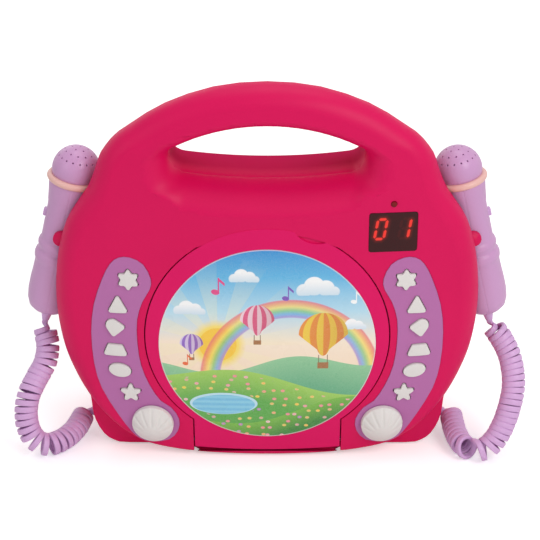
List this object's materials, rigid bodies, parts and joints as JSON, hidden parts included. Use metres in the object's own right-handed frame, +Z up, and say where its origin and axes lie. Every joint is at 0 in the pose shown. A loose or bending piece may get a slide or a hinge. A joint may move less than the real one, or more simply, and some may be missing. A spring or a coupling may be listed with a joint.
{
  "type": "karaoke machine with disc tray",
  "caption": "Portable karaoke disc player with a carrying handle, a hinged disc lid on its face, shaped keys, knobs and wired microphones clipped to its sides on curly cords.",
  "frame": {"origin": "on the floor under the middle of the housing, halfway from the crown of the face to the back", "axes": "+Z up, -Y out of the face, +X to the right seen from the front"},
  "size_m": [0.3198, 0.0948, 0.245],
  "materials": {
    "shell_plastic": "gloss",
    "lid_plastic": "gloss",
    "panel_plastic": "satin",
    "key_plastic": "satin",
    "mic_plastic": "satin",
    "ring_plastic": "satin",
    "cord_plastic": "satin",
    "insert_card": "printed",
    "window_plastic": "gloss",
    "led_plastic": "gloss",
    "dark_plastic": "matte",
    "board": "satin",
    "steel": "satin",
    "speaker_mix": "matte",
    "rubber": "matte",
    "lens_glass": "clear"
  },
  "bodies": {
    "housing": {"front_shell": "shell_plastic", "rear_shell": "shell_plastic", "disc_deck": "lid_plastic", "hinge_pin": "steel", "left_panel": "panel_plastic", "right_panel": "panel_plastic", "display_window": "window_plastic", "display_module": "dark_plastic", "program_led": "led_plastic", "main_board": "board", "key_boards": "board", "drive_frame": "steel", "spindle_motor": "steel", "guide_rods": "steel", "feed_motor": "steel", "speaker": "speaker_mix", "battery_bay": "dark_plastic", "battery_contacts": "steel", "dial_pots": "steel", "dc_jack": "dark_plastic", "feet": "rubber", "shell_screws": "steel", "cord_grommets": "cord_plastic", "cord_left": "cord_plastic", "cord_right": "cord_plastic"},
    "lid": {"lid": "lid_plastic", "lid_insert": "insert_card"},
    "turntable": {"turntable": "dark_plastic"},
    "pickup": {"optical_sled": "dark_plastic", "lens": "lens_glass"},
    "feed_screw": {"feed_screw": "steel"},
    "battery_door": {"battery_door": "shell_plastic"},
    "left_star_key": {"left_star_key": "key_plastic"},
    "left_triangle_key": {"left_triangle_key": "key_plastic"},
    "left_pick_key": {"left_pick_key": "key_plastic"},
    "left_trapezoid_key": {"left_trapezoid_key": "key_plastic"},
    "left_oval_key": {"left_oval_key": "key_plastic"},
    "left_point_key": {"left_point_key": "key_plastic"},
    "right_star_key": {"right_star_key": "key_plastic"},
    "right_triangle_key": {"right_triangle_key": "key_plastic"},
    "right_pick_key": {"right_pick_key": "key_plastic"},
    "right_trapezoid_key": {"right_trapezoid_key": "key_plastic"},
    "right_oval_key": {"right_oval_key": "key_plastic"},
    "right_point_key": {"right_point_key": "key_plastic"},
    "left_knob": {"left_knob": "key_plastic"},
    "left_mic": {"mic_left_outer": "mic_plastic", "mic_left_inner": "mic_plastic", "mic_left_ring": "ring_plastic", "mic_left_head": "mic_plastic", "mic_left_relief": "mic_plastic"},
    "left_mic_switch": {"mic_left_switch": "key_plastic"},
    "right_knob": {"right_knob": "key_plastic"},
    "right_mic": {"mic_right_outer": "mic_plastic", "mic_right_inner": "mic_plastic", "mic_right_ring": "ring_plastic", "mic_right_head": "mic_plastic", "mic_right_relief": "mic_plastic"},
    "right_mic_switch": {"mic_right_switch": "key_plastic"}
  },
  "joints": [
    {"name": "lid_hinge", "type": "hinge", "parent": "housing", "child": "lid", "pos_m": [0, -0.0326, 0.0106], "axis": [1, 0, 0], "range_deg": [0, 75]},
    {"name": "disc_spin", "type": "hinge", "parent": "housing", "child": "turntable", "pos_m": [0, -0.0318, 0.0875], "axis": [0, -1, 0], "continuous": true},
    {"name": "pickup_travel", "type": "slide", "parent": "housing", "child": "pickup", "axis": [1, 0, 0], "range_m": [0, 0.0335]},
    {"name": "screw_turn", "type": "hinge", "parent": "housing", "child": "feed_screw", "pos_m": [0.04, -0.0132, 0.0595], "axis": [1, 0, 0], "range_deg": [0, 3015.1]},
    {"name": "battery_door_pull", "type": "slide", "parent": "housing", "child": "battery_door", "axis": [0, 1, 0], "range_m": [0, 0.03]},
    {"name": "left_star_key_press", "type": "slide", "parent": "housing", "child": "left_star_key", "axis": [0, 1, 0], "range_m": [0, 0.0012], "stiffness_N_per_m": 600, "springref_m": -0.0005},
    {"name": "left_triangle_key_press", "type": "slide", "parent": "housing", "child": "left_triangle_key", "axis": [0, 1, 0], "range_m": [0, 0.0012], "stiffness_N_per_m": 600, "springref_m": -0.0005},
    {"name": "left_pick_key_press", "type": "slide", "parent": "housing", "child": "left_pick_key", "axis": [0, 1, 0], "range_m": [0, 0.0012], "stiffness_N_per_m": 600, "springref_m": -0.0005},
    {"name": "left_trapezoid_key_press", "type": "slide", "parent": "housing", "child": "left_trapezoid_key", "axis": [0, 1, 0], "range_m": [0, 0.0012], "stiffness_N_per_m": 600, "springref_m": -0.0005},
    {"name": "left_oval_key_press", "type": "slide", "parent": "housing", "child": "left_oval_key", "axis": [0, 1, 0], "range_m": [0, 0.0012], "stiffness_N_per_m": 600, "springref_m": -0.0005},
    {"name": "left_point_key_press", "type": "slide", "parent": "housing", "child": "left_point_key", "axis": [0, 1, 0], "range_m": [0, 0.0012], "stiffness_N_per_m": 600, "springref_m": -0.0005},
    {"name": "right_star_key_press", "type": "slide", "parent": "housing", "child": "right_star_key", "axis": [0, 1, 0], "range_m": [0, 0.0012], "stiffness_N_per_m": 600, "springref_m": -0.0005},
    {"name": "right_triangle_key_press", "type": "slide", "parent": "housing", "child": "right_triangle_key", "axis": [0, 1, 0], "range_m": [0, 0.0012], "stiffness_N_per_m": 600, "springref_m": -0.0005},
    {"name": "right_pick_key_press", "type": "slide", "parent": "housing", "child": "right_pick_key", "axis": [0, 1, 0], "range_m": [0, 0.0012], "stiffness_N_per_m": 600, "springref_m": -0.0005},
    {"name": "right_trapezoid_key_press", "type": "slide", "parent": "housing", "child": "right_trapezoid_key", "axis": [0, 1, 0], "range_m": [0, 0.0012], "stiffness_N_per_m": 600, "springref_m": -0.0005},
    {"name": "right_oval_key_press", "type": "slide", "parent": "housing", "child": "right_oval_key", "axis": [0, 1, 0], "range_m": [0, 0.0012], "stiffness_N_per_m": 600, "springref_m": -0.0005},
    {"name": "right_point_key_press", "type": "slide", "parent": "housing", "child": "right_point_key", "axis": [0, 1, 0], "range_m": [0, 0.0012], "stiffness_N_per_m": 600, "springref_m": -0.0005},
    {"name": "left_knob_turn", "type": "hinge", "parent": "housing", "child": "left_knob", "pos_m": [-0.0713, -0.03777, 0.026], "axis": [-0.0839, -0.9903, -0.1106], "range_deg": [-150, 150]},
    {"name": "left_mic_unclip", "type": "slide", "parent": "housing", "child": "left_mic", "axis": [-1, 0, 0], "range_m": [0, 0.06]},
    {"name": "left_mic_switch_slide", "type": "slide", "parent": "left_mic", "child": "left_mic_switch", "axis": [0.2334, 0, 0.9724], "range_m": [0, 0.004]},
    {"name": "right_knob_turn", "type": "hinge", "parent": "housing", "child": "right_knob", "pos_m": [0.0713, -0.03777, 0.026], "axis": [0.0839, -0.9903, -0.1106], "range_deg": [-150, 150]},
    {"name": "right_mic_unclip", "type": "slide", "parent": "housing", "child": "right_mic", "axis": [1, 0, 0], "range_m": [0, 0.06]},
    {"name": "right_mic_switch_slide", "type": "slide", "parent": "right_mic", "child": "right_mic_switch", "axis": [-0.2334, 0, 0.9724], "range_m": [0, 0.004]}
  ],
  "couplings": [
    {"joint": "screw_turn", "follows": "pickup_travel", "rad_per_m": 1570.8}
  ]
}
